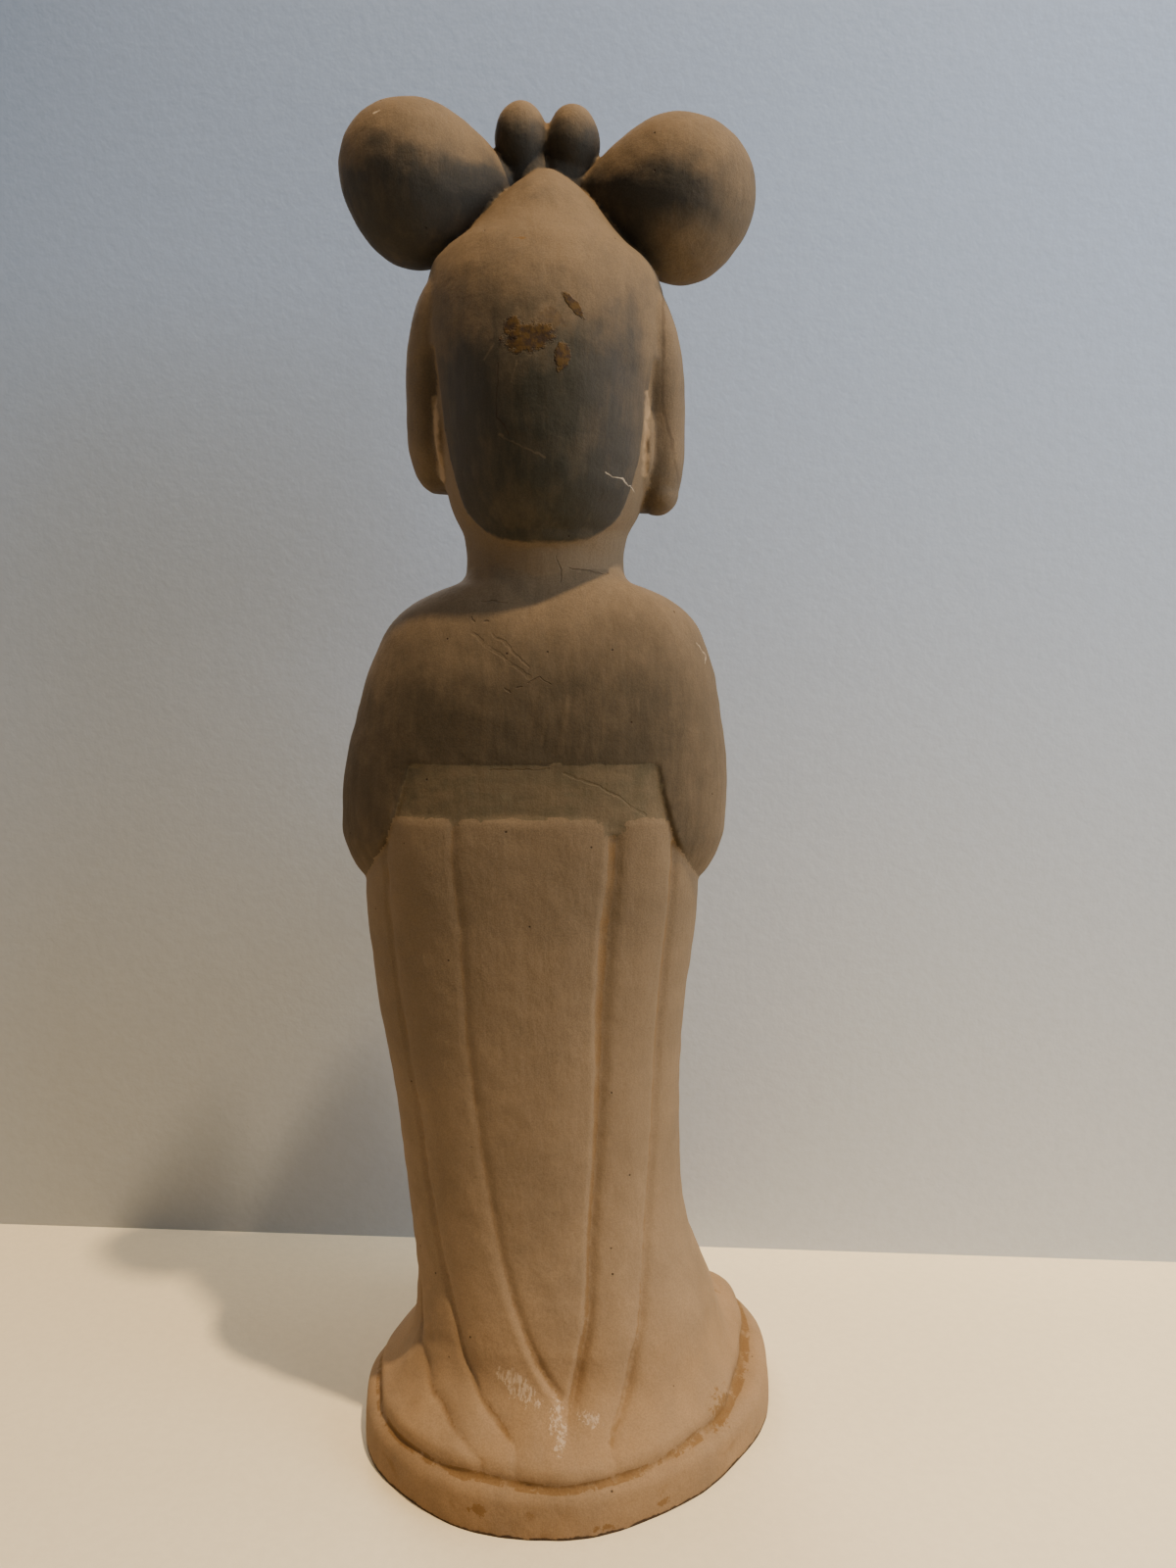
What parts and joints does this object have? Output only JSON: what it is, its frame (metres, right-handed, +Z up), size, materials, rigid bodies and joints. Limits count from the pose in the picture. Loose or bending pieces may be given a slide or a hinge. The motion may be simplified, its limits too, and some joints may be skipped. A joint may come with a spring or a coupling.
{
  "type": "terracotta court lady figure",
  "caption": "Standing court lady in fired clay, hair in wide side lobes, long pleated robe, hands in folded sleeves, on a low oval slab.",
  "frame": {"origin": "centre of the slab's underside", "axes": "+Z up along her height, -Y the way she faces, +X to her left"},
  "size_m": [0.1523, 0.1482, 0.4524],
  "materials": {
    "terracotta": "matt fired clay with worn dark paint on hair and jacket"
  },
  "bodies": {
    "root": {"court_lady_figure": "terracotta"}
  },
  "joints": []
}
